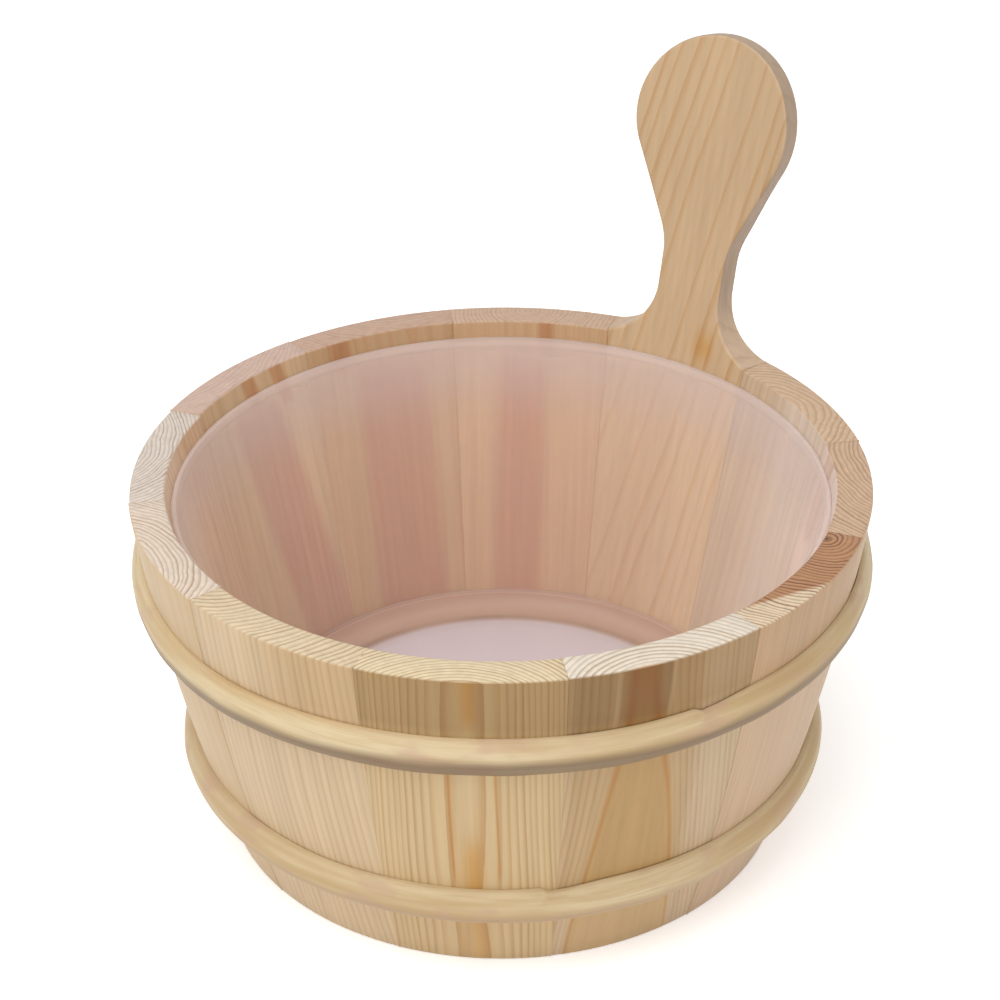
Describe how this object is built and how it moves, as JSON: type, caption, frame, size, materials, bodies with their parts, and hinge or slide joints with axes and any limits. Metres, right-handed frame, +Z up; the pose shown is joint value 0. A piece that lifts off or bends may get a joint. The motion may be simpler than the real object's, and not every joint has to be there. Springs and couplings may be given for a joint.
{
  "type": "sauna bucket",
  "caption": "Low coopered wooden bucket with one stave drawn up into a paddle handle, bent wooden hoops and a loose translucent liner for water.",
  "frame": {"origin": "middle of the foot ring, on the surface that the bucket stands on", "axes": "+Z up along the bucket's axis, +Y from the axis to the handle stave, +X to the right seen with the handle at the far side"},
  "size_m": [0.2629, 0.2849, 0.2516],
  "materials": {
    "stave_pine": "planed, clear coated",
    "handle_pine": "planed, clear coated",
    "board_pine": "planed",
    "hoop_wood": "sanded, half-round bent strip",
    "liner_plastic": "frosted, translucent"
  },
  "bodies": {
    "root": {"wall_stave_01": "stave_pine", "wall_stave_02": "stave_pine", "wall_stave_03": "stave_pine", "wall_stave_04": "stave_pine", "wall_stave_05": "stave_pine", "wall_stave_06": "stave_pine", "wall_stave_07": "stave_pine", "wall_stave_08": "stave_pine", "wall_stave_09": "stave_pine", "wall_stave_10": "stave_pine", "wall_stave_11": "stave_pine", "handle_stave": "handle_pine", "bottom_board_left": "board_pine", "bottom_board_middle": "board_pine", "bottom_board_right": "board_pine", "upper_hoop": "hoop_wood", "lower_hoop": "hoop_wood", "liner": "liner_plastic"}
  },
  "joints": []
}
